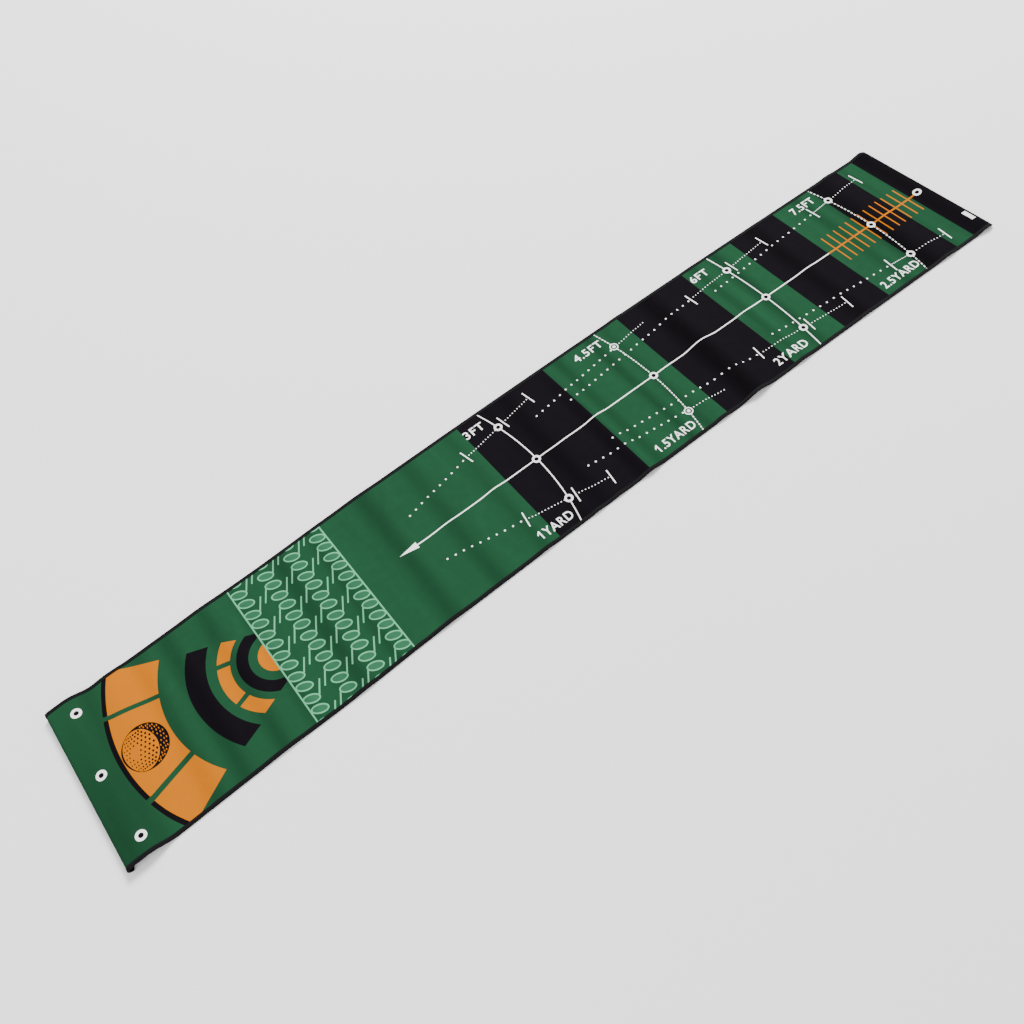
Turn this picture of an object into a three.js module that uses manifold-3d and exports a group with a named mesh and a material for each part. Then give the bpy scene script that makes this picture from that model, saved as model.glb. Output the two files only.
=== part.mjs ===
// Practice putting mat: printed pile fabric over a thin foam core on a non-slip
// backing, bound all round with folded tape, with a sewn-in label at the far end.
//
// Frame: X runs along the mat, -X at the target end, +X at the far end.
// +Y is the left edge, as seen from the target end.
// Z is up and the floor is Z = 0. The origin is the middle of the footprint.
// Millimetres.
//
// The mat is soft all along its length. It folds in three for carrying, so every
// layer is modelled in thirds: near, middle and far, with a fold line between each.
// In the end thirds, backing, fabric and edge tape are cut again at the foot and at the
// crest of the rise, so that each bent stretch is a short solid of its own.

import * as THREE from 'three';
import { mergeVertices } from 'three/addons/utils/BufferGeometryUtils.js';
import Module from 'manifold-3d';

const wasm = await Module();
wasm.setup();

// Overall size, as the mat lies.
const LENGTH = 3085;
const WIDTH = 508;

// Layers, from the floor up.
const GAP = 0.3;
const BACKING_THICK = 0.8;
const FOAM_THICK = 2.0;
const FABRIC_THICK = 1.0;
const TAPE_THICK = 0.8;
const THREAD_THICK = 0.3;
const THREAD_WIDE = 0.8;
const LABEL_THICK = 0.3;

const FOAM_BASE = BACKING_THICK + GAP;
const FABRIC_BASE = FOAM_BASE + FOAM_THICK + GAP;
const MAT_TOP = FABRIC_BASE + FABRIC_THICK;
const TAPE_BASE = MAT_TOP + GAP;
const TAPE_TOP = TAPE_BASE + TAPE_THICK;
const THREAD_BASE = TAPE_TOP + GAP;
const THREAD_TOP = THREAD_BASE + THREAD_THICK;

// Edge tape, folded round every edge.
const TAPE_WIDE = 11;
const TAPE_WALL = 1.2;
const STITCH_INSET = 8;
const HALF_WIDTH = WIDTH / 2;
const CORE_HALF = HALF_WIDTH - TAPE_WALL - GAP;
const INNER_HALF = HALF_WIDTH - TAPE_WIDE - GAP;

// The two ends spring up and curl down again, because the mat is kept rolled up.
const END_LAY = {
  near: { rise: 95, crest: 19, curlRadius: 11, endSlope: THREE.MathUtils.degToRad(88) },
  far: { rise: 55, crest: 10, curlRadius: 12, endSlope: THREE.MathUtils.degToRad(65) },
};
const RISE_STEPS = 10;
const CURL_STEPS = 7;

// Sewn-in label on the far end, near the right-hand corner.
const LABEL_LONG = 44;
const LABEL_WIDE = 16;
const LABEL_Y = -177;
const LABEL_SEAM_INSET = 3;

// Fold lines, and the half-gap that keeps the two sides of a cut clear of each other.
const FOLD_X = LENGTH / 6;
const CUT_CLEARANCE = GAP / 2;

// ---------------------------------------------------------------------------
// How an end lies: stations along the underside, from the start of the rise to
// the edge, each with its distance along the sheet, place and slope.

function endStations(lay) {
  const stations = [{ along: 0, x: 0, z: 0, slope: 0 }];
  const steepest = (lay.crest * Math.PI) / (2 * lay.rise);
  const advance = (step, slope) => {
    const last = stations[stations.length - 1];
    const middle = (last.slope + slope) / 2;
    stations.push({
      along: last.along + step,
      x: last.x + step * Math.cos(middle),
      z: last.z + step * Math.sin(middle),
      slope,
    });
  };
  for (let i = 1; i <= RISE_STEPS; i += 1) {
    advance(lay.rise / RISE_STEPS, steepest * Math.sin((Math.PI * i) / RISE_STEPS));
  }
  for (let i = 1; i <= CURL_STEPS; i += 1) {
    advance((lay.curlRadius * lay.endSlope) / CURL_STEPS, (-lay.endSlope * i) / CURL_STEPS);
  }
  const height = stations[stations.length - 1].z;
  stations[stations.length - 1].slope = -lay.endSlope;
  advance(height / Math.sin(lay.endSlope), -lay.endSlope);
  return stations;
}

// A point lifted off the underside by `offset`, square to the sheet.
function lifted(station, offset) {
  return new THREE.Vector2(
    station.x - offset * Math.sin(station.slope),
    station.z + offset * Math.cos(station.slope),
  );
}

// The station at any distance along the sheet. Before the rise the sheet is flat.
function stationAt(stations, along) {
  if (along <= 0) return { along, x: along, z: 0, slope: 0 };
  const next = stations.findIndex((station) => station.along >= along - 1e-6);
  const b = stations[next];
  const a = stations[Math.max(next - 1, 0)];
  const t = b.along > a.along ? (along - a.along) / (b.along - a.along) : 0;
  const mix = (key) => THREE.MathUtils.lerp(a[key], b[key], t);
  return { along, x: mix('x'), z: mix('z'), slope: mix('slope') };
}

// An end third: stations placed so that its outermost point is at LENGTH / 2.
function makeEnd(lay) {
  const stations = endStations(lay);
  const total = stations[stations.length - 1].along;
  const threadAlong = total - STITCH_INSET;
  const outerThread = stationAt(stations, threadAlong + THREAD_WIDE / 2);
  const reach = Math.max(
    ...stations.map((station) => lifted(station, TAPE_TOP).x),
    lifted(outerThread, THREAD_TOP).x,
  );
  return { stations, total, threadAlong, crestAlong: lay.rise, riseX: LENGTH / 2 - reach };
}

// ---------------------------------------------------------------------------
// Solids. Each is drawn as if it were on the far third, then turned if needed.

// A layer of the sheet between two offsets, from one distance to another.
function layerOutline(end, low, high, from, to) {
  const inside = end.stations.filter((s) => s.along > from + 0.5 && s.along < to - 0.5);
  const run = [stationAt(end.stations, from), ...inside, stationAt(end.stations, to)];
  const under = run.map((station) => lifted(station, low));
  const over = run.map((station) => lifted(station, high)).reverse();
  const points = [...under, ...over];
  return new THREE.Shape(points.map((p) => new THREE.Vector2(p.x + end.riseX, p.y)));
}

// Extrudes an X-Z outline from y0 to y1.
function extrudeAcross(shape, y0, y1) {
  const geometry = new THREE.ExtrudeGeometry(shape, { depth: y1 - y0, bevelEnabled: false });
  geometry.rotateX(Math.PI / 2);
  geometry.translate(0, y1, 0);
  return geometry;
}

function box(x0, x1, y0, y1, z0, z1) {
  const geometry = new THREE.BoxGeometry(x1 - x0, y1 - y0, z1 - z0);
  geometry.translate((x0 + x1) / 2, (y0 + y1) / 2, (z0 + z1) / 2);
  return geometry;
}

function toManifold(geometry) {
  const plain = geometry.clone();
  plain.deleteAttribute('normal');
  plain.deleteAttribute('uv');
  const merged = mergeVertices(plain, 1e-4);
  const mesh = new wasm.Mesh({
    numProp: 3,
    vertProperties: new Float32Array(merged.attributes.position.array),
    triVerts: new Uint32Array(merged.index.array),
  });
  return new wasm.Manifold(mesh);
}

// Joins overlapping solids into one.
function join(geometries) {
  const solid = geometries.map(toManifold).reduce((a, b) => a.add(b));
  const mesh = solid.getMesh();
  const geometry = new THREE.BufferGeometry();
  geometry.setAttribute('position', new THREE.BufferAttribute(mesh.vertProperties, 3));
  geometry.setIndex(new THREE.BufferAttribute(mesh.triVerts, 1));
  geometry.computeVertexNormals();
  return geometry;
}

// Tape folded round a long edge: top strip, side wall and bottom strip in one.
// `slab(low, high, y0, y1)` makes a length of the sheet between two offsets.
function sideTape(slab, side) {
  const span = (inner, outer) => (side > 0 ? [inner, outer] : [-outer, -inner]);
  const strip = span(HALF_WIDTH - TAPE_WIDE, HALF_WIDTH);
  const wall = span(HALF_WIDTH - TAPE_WALL, HALF_WIDTH);
  return join([
    slab(0, TAPE_THICK, ...strip),
    slab(0, TAPE_TOP, ...wall),
    slab(TAPE_BASE, TAPE_TOP, ...strip),
  ]);
}

// One thread line, seen as the row of stitches that holds the tape.
function sideThread(slab, side, ...run) {
  const y = side * (HALF_WIDTH - STITCH_INSET);
  return slab(THREAD_BASE, THREAD_TOP, y - THREAD_WIDE / 2, y + THREAD_WIDE / 2, ...run);
}

// ---------------------------------------------------------------------------
// Materials.

function material(color, roughness) {
  return new THREE.MeshStandardMaterial({ color, roughness, metalness: 0 });
}

const FINISH = {
  fabric: material(0x245f3c, 0.9),
  foam: material(0x3c3c40, 0.95),
  backing: material(0xb9b6be, 0.8),
  tape: material(0x17161a, 0.85),
  thread: material(0x26252a, 0.7),
  label: material(0xf2f2f2, 0.6),
};

const mat = new THREE.Group();

function addPiece(name, geometry, finish, turned = false) {
  const mesh = new THREE.Mesh(geometry, FINISH[finish]);
  mesh.name = name;
  mesh.rotation.z = turned ? Math.PI : 0;
  mat.add(mesh);
}

// ---------------------------------------------------------------------------
// The middle third lies flat between the two fold lines.

const middleSlab = (low, high, y0, y1) => {
  const edge = FOLD_X - CUT_CLEARANCE;
  return box(-edge, edge, y0, y1, low, high);
};

addPiece('middle_backing', middleSlab(0, BACKING_THICK, -INNER_HALF, INNER_HALF), 'backing');
addPiece('middle_foam_core', middleSlab(FOAM_BASE, FOAM_BASE + FOAM_THICK, -CORE_HALF, CORE_HALF), 'foam');
addPiece('middle_top_fabric', middleSlab(FABRIC_BASE, MAT_TOP, -CORE_HALF, CORE_HALF), 'fabric');

for (const [edgeName, side] of [['left', 1], ['right', -1]]) {
  addPiece(`middle_edge_tape_${edgeName}`, sideTape(middleSlab, side), 'tape');
  addPiece(`middle_edge_stitching_${edgeName}`, sideThread(middleSlab, side), 'thread');
}

// ---------------------------------------------------------------------------
// The near and far thirds: flat from the fold line, then the curled end.

for (const [third, turned] of [['near', true], ['far', false]]) {
  const end = makeEnd(END_LAY[third]);
  const foldAlong = FOLD_X + CUT_CLEARANCE - end.riseX;
  const coreEnd = end.total - TAPE_WALL - GAP;
  const tapeStart = end.total - TAPE_WIDE;
  const slab = (low, high, y0, y1, from = foldAlong, to = end.total) =>
    extrudeAcross(layerOutline(end, low, high, from, to), y0, y1);

  // A layer in three nodes: its flat run, its rise and its curl.
  const addCutLayer = (name, build, layerEnd, finish) => {
    const runs = [
      ['', foldAlong, -CUT_CLEARANCE],
      ['rise_', CUT_CLEARANCE, end.crestAlong - CUT_CLEARANCE],
      ['curl_', end.crestAlong + CUT_CLEARANCE, layerEnd],
    ];
    for (const [run, from, to] of runs) {
      addPiece(`${third}_${run}${name}`, build(from, to), finish, turned);
    }
  };

  addCutLayer(
    'backing',
    (from, to) => slab(0, BACKING_THICK, -INNER_HALF, INNER_HALF, from, to),
    tapeStart - GAP,
    'backing',
  );
  addCutLayer(
    'top_fabric',
    (from, to) => slab(FABRIC_BASE, MAT_TOP, -CORE_HALF, CORE_HALF, from, to),
    coreEnd,
    'fabric',
  );
  addPiece(
    `${third}_foam_core`,
    slab(FOAM_BASE, FOAM_BASE + FOAM_THICK, -CORE_HALF, CORE_HALF, foldAlong, coreEnd),
    'foam',
    turned,
  );

  // Turning a third end for end also swaps its two sides.
  for (const [edgeName, side] of [['left', 1], ['right', -1]]) {
    const drawnSide = turned ? -side : side;
    const thread = sideThread(slab, drawnSide, foldAlong, end.threadAlong);
    addCutLayer(
      `edge_tape_${edgeName}`,
      (from, to) => sideTape((...span) => slab(...span, from, to), drawnSide),
      end.total,
      'tape',
    );
    addPiece(`${third}_edge_stitching_${edgeName}`, thread, 'thread', turned);
  }

  const wallStart = end.total - TAPE_WALL;
  const endTape = join([
    slab(0, TAPE_THICK, -INNER_HALF, INNER_HALF, tapeStart, end.total),
    slab(0, TAPE_TOP, -INNER_HALF, INNER_HALF, wallStart, end.total),
    slab(TAPE_BASE, TAPE_TOP, -INNER_HALF, INNER_HALF, tapeStart, end.total),
  ]);
  addPiece(`${third}_end_tape`, endTape, 'tape', turned);

  const endThread = slab(
    THREAD_BASE,
    THREAD_TOP,
    -INNER_HALF + STITCH_INSET,
    INNER_HALF - STITCH_INSET,
    end.threadAlong - THREAD_WIDE / 2,
    end.threadAlong + THREAD_WIDE / 2,
  );
  addPiece(`${third}_end_stitching`, endThread, 'thread', turned);

  // The label lies on the fabric, with its outer edge at the end tape.
  if (third === 'far') {
    const labelEnd = tapeStart - GAP;
    const labelSlab = slab(
      TAPE_BASE,
      TAPE_BASE + LABEL_THICK,
      LABEL_Y - LABEL_LONG / 2,
      LABEL_Y + LABEL_LONG / 2,
      labelEnd - LABEL_WIDE,
      labelEnd,
    );
    addPiece('far_label', labelSlab, 'label');

    const seamAlong = labelEnd - LABEL_SEAM_INSET;
    const labelSeam = slab(
      TAPE_BASE + LABEL_THICK + GAP,
      TAPE_BASE + LABEL_THICK + GAP + THREAD_THICK,
      LABEL_Y - LABEL_LONG / 2 + LABEL_SEAM_INSET,
      LABEL_Y + LABEL_LONG / 2 - LABEL_SEAM_INSET,
      seamAlong - THREAD_WIDE / 2,
      seamAlong + THREAD_WIDE / 2,
    );
    addPiece('far_label_stitching', labelSeam, 'thread');
  }
}

export default mat;
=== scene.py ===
"""Looks of the practice putting mat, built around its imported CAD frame.

Every layer is drawn in sheet millimetres: X along the sheet, y across it and the height
above the underside. lay_out() turns those into places in the row frame, in metres.
"""

import math
from collections import defaultdict

import bpy
import numpy as np
from mathutils import Euler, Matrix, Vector
from mathutils.geometry import delaunay_2d_cdt


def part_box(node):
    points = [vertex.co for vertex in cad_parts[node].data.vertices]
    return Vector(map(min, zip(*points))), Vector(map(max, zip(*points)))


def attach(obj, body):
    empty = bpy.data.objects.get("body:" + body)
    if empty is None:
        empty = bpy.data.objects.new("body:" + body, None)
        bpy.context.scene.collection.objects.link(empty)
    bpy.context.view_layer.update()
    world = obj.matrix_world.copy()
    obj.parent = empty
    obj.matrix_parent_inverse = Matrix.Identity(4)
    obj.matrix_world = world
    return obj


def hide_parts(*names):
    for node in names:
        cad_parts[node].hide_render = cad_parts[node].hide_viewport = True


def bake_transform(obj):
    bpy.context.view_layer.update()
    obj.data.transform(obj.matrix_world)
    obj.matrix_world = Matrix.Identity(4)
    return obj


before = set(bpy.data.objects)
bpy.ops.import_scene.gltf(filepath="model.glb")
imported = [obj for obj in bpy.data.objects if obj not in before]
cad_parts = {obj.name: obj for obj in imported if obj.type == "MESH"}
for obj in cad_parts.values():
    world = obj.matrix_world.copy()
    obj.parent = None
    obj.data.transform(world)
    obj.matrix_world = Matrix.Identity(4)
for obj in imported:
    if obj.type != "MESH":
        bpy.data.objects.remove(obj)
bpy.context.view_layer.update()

# ---------------------------------------------------------------------------
# Sizes, in millimetres. The layers are where the CAD model has them.

MM = 0.001


def mm_box(node):
    low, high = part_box(node)
    return low / MM, high / MM


def layer_heights(node):
    low, high = mm_box(node)
    return low.z, high.z


BACKING = layer_heights("middle_backing")
FOAM = layer_heights("middle_foam_core")
FABRIC = layer_heights("middle_top_fabric")
TAPE_TOP = layer_heights("middle_edge_tape_left")[1]
HALF_WIDTH = mm_box("middle_edge_tape_left")[1].y
CORE_HALF = mm_box("middle_top_fabric")[1].y
INNER_HALF = mm_box("middle_backing")[1].y
TAPE_WIDE = HALF_WIDTH - mm_box("middle_edge_tape_left")[0].y
TAPE_THICK = 0.8
TAPE_WALL = 1.2
GAP = 0.3
STITCH_INSET = 8.0

FOLD_X = (mm_box("middle_backing")[1].x + mm_box("far_backing")[0].x) / 2
NEAR_RISE_X = -(mm_box("near_backing")[0].x + mm_box("near_rise_backing")[1].x) / 2
FAR_RISE_X = (mm_box("far_backing")[1].x + mm_box("far_rise_backing")[0].x) / 2

# The print is drawn from the centre of its target, this far from the middle of the mat.
PRINT_SHIFT = 979.5


class End:
    """How one end lies: distance along the sheet from the foot of the rise, to place."""

    def __init__(self, start, rise, crest, crown, curl, end_slope_deg):
        self.start = start
        steepest = crest * math.pi / (2 * rise)
        end_slope = math.radians(end_slope_deg)
        along, x, z, slopes = [0.0], [0.0], [0.0], [0.0]

        def advance(step, slope):
            middle = (slopes[-1] + slope) / 2
            along.append(along[-1] + step)
            x.append(x[-1] + step * math.cos(middle))
            z.append(z[-1] + step * math.sin(middle))
            slopes.append(slope)

        rise_steps, curl_steps = 24, 20
        for i in range(1, rise_steps + 1):
            advance(rise / rise_steps, steepest * math.sin(math.pi * i / rise_steps))
        for _ in range(3):
            advance(crown / 3, 0.0)
        for i in range(1, curl_steps + 1):
            t = i / curl_steps
            advance(curl / curl_steps, -end_slope * t * t * (3 - 2 * t))
        leg = (z[-1] + min(0.0, TAPE_TOP * math.cos(end_slope))) / math.sin(end_slope)
        for _ in range(4):
            advance(leg / 4, -end_slope)
        self.along, self.x, self.z, self.slope = map(np.array, (along, x, z, slopes))
        self.total = along[-1]
        self.end = start + self.total


# The near end curls right under itself and the far end just dips to the floor.
NEAR = End(NEAR_RISE_X - 24, rise=92, crest=24, crown=39, curl=26, end_slope_deg=150)
FAR = End(FAR_RISE_X, rise=55, crest=10, crown=2, curl=16, end_slope_deg=65)

# From each fold line to this far outwards, the cross lines lie this far apart.
BEND_LONG, BEND_STEP = 60.0, 4.0

# Where the two halves of each long layer meet: under the edge of a printed stripe.
SEAM_X = 803 - PRINT_SHIFT

# Low waves across the mat, left by rolling: distance from the target's centre, half
# length, then height at the left edge, in the middle and at the right edge.
WAVES = [
    (-400, 75, 6, 2, 0),
    (-105, 90, 2, 3.5, 2.5),
    (140, 55, 0, 3, 3),
    (430, 90, 2.5, 4.5, 4),
    (590, 60, 0, 3.5, 0.5),
    (757, 50, 0.5, 5, 3.5),
    (942, 34, 0, 1, 4),
    (1022, 34, 0, 1.5, 3),
    (1139, 52, 0, 7.5, 8.5),
    (1420, 45, 2, 1.5, 4.5),
    (1553, 72, 0, 13.5, 14),
    (1737, 52, 1, 3.8, 5),
    (2003, 54, 0.5, 3.5, 2.5),
    (2345, 48, 3.5, 3, 5),
]
# The mat lies in a slight sideways bow, a little turned, with one gentle sway, and a
# little wider than its flat size.
BOW, BOW_MIDDLE, BOW_OFFSET = 9.96, -9.5, 1.2
TURN, TURN_START, TURN_STOP, TURN_PIVOT = 0.0025, -500, 1150, 110
SWAY_X, SWAY_HALF, SWAY = -880, 240, 3.2
FULLNESS = 1.0065
# Its far end is pulled out a little, more at the right corner than at the left.
SKEW_START, SKEW_PULL, SKEW = 1100, 13, 0.042
# Corners: how far in each one's rounding starts.
SOFT_CORNER, SHARP_CORNER = 30.0, 7.0

# Painted shade: bands across the mat where the fabric is painted darker, standing for the
# shade on its waves and on its raised near end: distance from the target's centre, half
# length, then how much of the dark tone shows at the left edge, in the middle and at the
# right edge.
PAINTED_SHADE_BANDS = [
    (-545, 85, 0.10, 0.42, 0.55),
    (-468, 60, 0.35, 0.35, 0.35),
    (-312, 45, 0.35, 0.40, 0.45),
    (-222, 44, 0.45, 0.45, 0.45),
    (-105, 42, 0.40, 0.45, 0.45),
    (-8, 30, 0.20, 0.30, 0.25),
    (92, 20, 0.00, 0.20, 0.10),
    (148, 46, 0.50, 0.50, 0.50),
    (256, 28, 0.40, 0.35, 0.45),
    (440, 56, 0.50, 0.50, 0.45),
    (603, 48, 0.35, 0.42, 0.45),
    (757, 32, 0.25, 0.30, 0.40),
    (903, 32, 0.35, 0.20, 0.45),
    (966, 46, 0.40, 0.60, 0.40),
    (1115, 36, 0.15, 0.40, 0.40),
    (1180, 32, 0.50, 0.45, 0.45),
    (1305, 30, 0.60, 0.50, 0.55),
    (1367, 28, 0.30, 0.40, 0.45),
    (1543, 58, 0.70, 0.75, 0.75),
    (1741, 28, 0.50, 0.40, 0.30),
    (1825, 40, 0.60, 0.60, 0.40),
    (1990, 48, 0.70, 0.60, 0.55),
    (2192, 38, 0.60, 0.40, 0.50),
    (2286, 60, 0.60, 0.80, 0.80),
    (2400, 18, 0.30, 0.30, 0.30),
    (2492, 60, 0.50, 0.50, 0.50),
]
# Waves and bands don't run quite square: each lies this much farther on at the left edge.
BAND_LEAN = 6.0


def across(bands, x, y):
    """The sum of soft bands that run across the mat, at sheet places."""
    side = y / HALF_WIDTH
    total = np.zeros_like(x)
    for place, half, left, middle, right in bands:
        reach = np.abs(x - (place - PRINT_SHIFT) - BAND_LEAN * side) / half
        height = middle + (left - right) / 2 * side + ((left + right) / 2 - middle) * side**2
        total += height * np.cos(np.clip(reach, 0, 1) * math.pi / 2) ** 2
    return total


def round_corners(x, y):
    """Draws the square corners of the sheet in to round ones."""
    x, y = x.copy(), y.copy()
    for end, sign, side in ((NEAR, -1, -1), (NEAR, -1, 1), (FAR, 1, -1), (FAR, 1, 1)):
        radius = SOFT_CORNER if (sign, side) == (1, 1) else SHARP_CORNER
        cx, cy = end.end - radius, HALF_WIDTH - radius
        u, v = x * sign - cx, y * side - cy
        on = (u > 0) & (v > 0)
        scale = np.maximum(u[on], v[on]) / np.hypot(u[on], v[on])
        x[on] = sign * (cx + u[on] * scale)
        y[on] = side * (cy + v[on] * scale)
    return x, y


def lay_out(points):
    """Sheet places, as rows of X, y and height in millimetres, to the row frame."""
    sheet = np.asarray(points, float).reshape(-1, 3)
    along, y, up = sheet.T
    along, y = round_corners(along, y)
    x, z = along.copy(), up.copy()
    for end, sign in ((NEAR, -1), (FAR, 1)):
        past = along * sign - end.start
        on = past > 0
        s = past[on]
        slope = np.interp(s, end.along, end.slope)
        x[on] = sign * (end.start + np.interp(s, end.along, end.x) - up[on] * np.sin(slope))
        z[on] = np.interp(s, end.along, end.z) + up[on] * np.cos(slope)
    z += across(WAVES, x, y)
    pulled = np.clip((x - SKEW_START) / (FAR.end - SKEW_START), 0, 1) ** 2
    x = x + pulled * (SKEW_PULL - SKEW * y)
    sway = np.cos(np.clip(np.abs(x - SWAY_X) / SWAY_HALF, 0, 1) * math.pi / 2) ** 2
    turned = TURN * (np.clip(x, TURN_START, TURN_STOP) - TURN_PIVOT)
    bowed = BOW * (((x - BOW_MIDDLE) / 1000) ** 2 - BOW_OFFSET)
    y = y * FULLNESS - bowed - turned - SWAY * sway
    return np.stack([x, y, z], 1) * MM


# ---------------------------------------------------------------------------
# Meshes.


def add_piece(name, points, faces, materials, slots=None, uv=None, sharp_deg=50):
    """A mesh from sheet places. Its UV map holds the sheet place in metres."""
    mesh = bpy.data.meshes.new(name)
    mesh.from_pydata(lay_out(points).tolist(), [], [list(f) for f in faces])
    for m in materials:
        mesh.materials.append(m)
    if slots is not None:
        mesh.polygons.foreach_set("material_index", slots)
    flat = np.asarray(points, float)[:, :2] if uv is None else np.asarray(uv, float)
    corners = np.zeros(len(mesh.loops), np.int32)
    mesh.loops.foreach_get("vertex_index", corners)
    layer = mesh.uv_layers.new(name="sheet")
    layer.data.foreach_set("uv", (flat[corners] * MM).astype(np.float32).ravel())
    mesh.shade_smooth()
    mesh.set_sharp_from_angle(angle=math.radians(sharp_deg))
    obj = bpy.data.objects.new(name, mesh)
    bpy.context.scene.collection.objects.link(obj)
    return obj


# How far apart the cross lines of a layer and of an edge tape are where the mat is flat,
# and the least distance between two of them.
LAYER_STEP, TAPE_STEP, LEAST_STEP = 14.0, 7.0, 0.8


def stations(start, stop, step):
    """Distances along the sheet, close together where an end bends and beside each fold line."""
    marks = {start, stop}
    marks.update(np.arange(math.ceil(start / step) * step, stop, step))
    for end, sign in ((NEAR, -1), (FAR, 1)):
        marks.update(float(sign * (end.start + s)) for s in end.along)
        bend = np.arange(FOLD_X - BEND_STEP, FOLD_X + BEND_LONG + BEND_STEP, BEND_STEP)
        marks.update(float(sign * at) for at in bend)
    inside = sorted(m for m in marks if start <= m <= stop)
    kept = [inside[0]]
    for m in inside[1:-1]:
        if m - kept[-1] > LEAST_STEP and stop - m > LEAST_STEP:
            kept.append(m)
    return kept + [stop]


def slab(name, xs, ys, low, high, materials):
    """A closed layer between two heights, on a grid."""
    points, faces = [], []
    for height in (high, low):
        points += [(x, y, height) for x in xs for y in ys]
    n, m = len(xs), len(ys)
    under = n * m

    def at(i, j, base=0):
        return base + i * m + j

    for i in range(n - 1):
        for j in range(m - 1):
            faces.append((at(i, j), at(i + 1, j), at(i + 1, j + 1), at(i, j + 1)))
            faces.append(tuple(under + k for k in reversed(faces[-1])))
    for i in range(n - 1):
        for j, flip in ((0, True), (m - 1, False)):
            a, b = at(i, j), at(i + 1, j)
            wall = (a, b, b + under, a + under)
            faces.append(wall[::-1] if flip else wall)
    for j in range(m - 1):
        for i, flip in ((0, False), (n - 1, True)):
            a, b = at(i, j), at(i, j + 1)
            wall = (a, b, b + under, a + under)
            faces.append(wall[::-1] if flip else wall)
    return add_piece(name, points, faces, materials)


def sweep(name, rings, uvs, materials, sharp_deg=50):
    """A closed bar through rings of points, all with the same number of points."""
    m = len(rings[0])
    points = [p for ring in rings for p in ring]
    flat = [p for ring in uvs for p in ring]
    faces = []
    for i in range(len(rings) - 1):
        for j in range(m):
            a, b = i * m + j, i * m + (j + 1) % m
            faces.append((a, b, b + m, a + m))
    faces.append(tuple(range(m))[::-1])
    last = (len(rings) - 1) * m
    faces.append(tuple(range(last, last + m)))
    obj = add_piece(name, points, faces, materials, uv=flat, sharp_deg=sharp_deg)
    return face_out(obj)


def face_out(obj):
    """Turns a closed mesh's faces outwards."""
    mesh = obj.data
    mesh.calc_loop_triangles()
    co = np.zeros(len(mesh.vertices) * 3, np.float32)
    mesh.vertices.foreach_get("co", co)
    tri = np.zeros(len(mesh.loop_triangles) * 3, np.int32)
    mesh.loop_triangles.foreach_get("vertices", tri)
    a, b, c = co.reshape(-1, 3).astype(float)[tri.reshape(-1, 3)].transpose(1, 0, 2)
    if np.einsum("ij,ij->i", a, np.cross(b, c)).sum() < 0:
        mesh.flip_normals()
    return obj


# ---------------------------------------------------------------------------
# Materials. Textures use the sheet map, so they stay put when the mat folds.


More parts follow.
